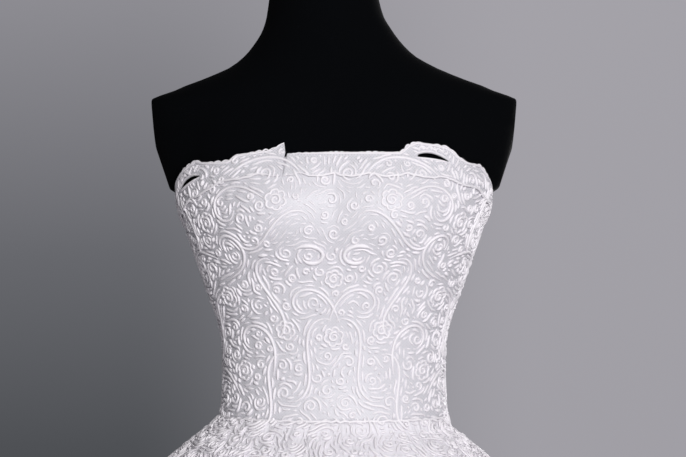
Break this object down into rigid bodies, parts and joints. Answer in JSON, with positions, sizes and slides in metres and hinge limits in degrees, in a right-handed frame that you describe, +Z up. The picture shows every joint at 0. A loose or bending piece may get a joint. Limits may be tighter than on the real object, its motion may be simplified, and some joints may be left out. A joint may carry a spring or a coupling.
{
  "type": "wedding dress on a dress form",
  "caption": "White strapless ball gown with a raised lace bodice and a full fluted skirt, zipped at the back, worn by a black limbless dress form on a round stand.",
  "frame": {"origin": "on the floor, under the middle of the part's bounds and of the stand's base", "axes": "+Z up from the floor, -Y out of the front of the gown, +X to the right of someone who faces its front"},
  "size_m": [1.3367, 1.353, 1.5293],
  "materials": {
    "satin": "satin under raised corded lace",
    "tulle": "matt layered tulle",
    "lace": "corded lace",
    "jersey": "matt black jersey",
    "stand": "black powder coat",
    "zip_metal": "white enamel"
  },
  "bodies": {
    "gown_on_form": {"bodice_front": "satin", "bodice_side_front_right": "satin", "bodice_side_back_right": "satin", "bodice_back_right": "satin", "bodice_back_left": "satin", "bodice_side_back_left": "satin", "bodice_side_front_left": "satin", "zip_chain": "satin", "skirt_front": "tulle", "skirt_side_front_right": "tulle", "skirt_side_back_right": "tulle", "skirt_back_right": "tulle", "skirt_back_left": "tulle", "skirt_side_back_left": "tulle", "skirt_side_front_left": "tulle", "lace_border_front_left": "lace", "lace_border_front_right": "lace", "lace_border_back_right": "lace", "lace_border_back_left": "lace", "dress_form": "jersey", "stand_base": "stand", "stand_pole": "stand", "stand_socket": "stand", "neck_cap": "stand", "zip_slider": "zip_metal"},
    "pull_tab": {"zip_pull_tab": "zip_metal"}
  },
  "joints": [
    {"name": "pull_tab_swing", "type": "hinge", "parent": "gown_on_form", "child": "pull_tab", "pos_m": [0, 0.10535, 1.22773], "axis": [1, 0, 0], "range_deg": [0, 150]}
  ]
}
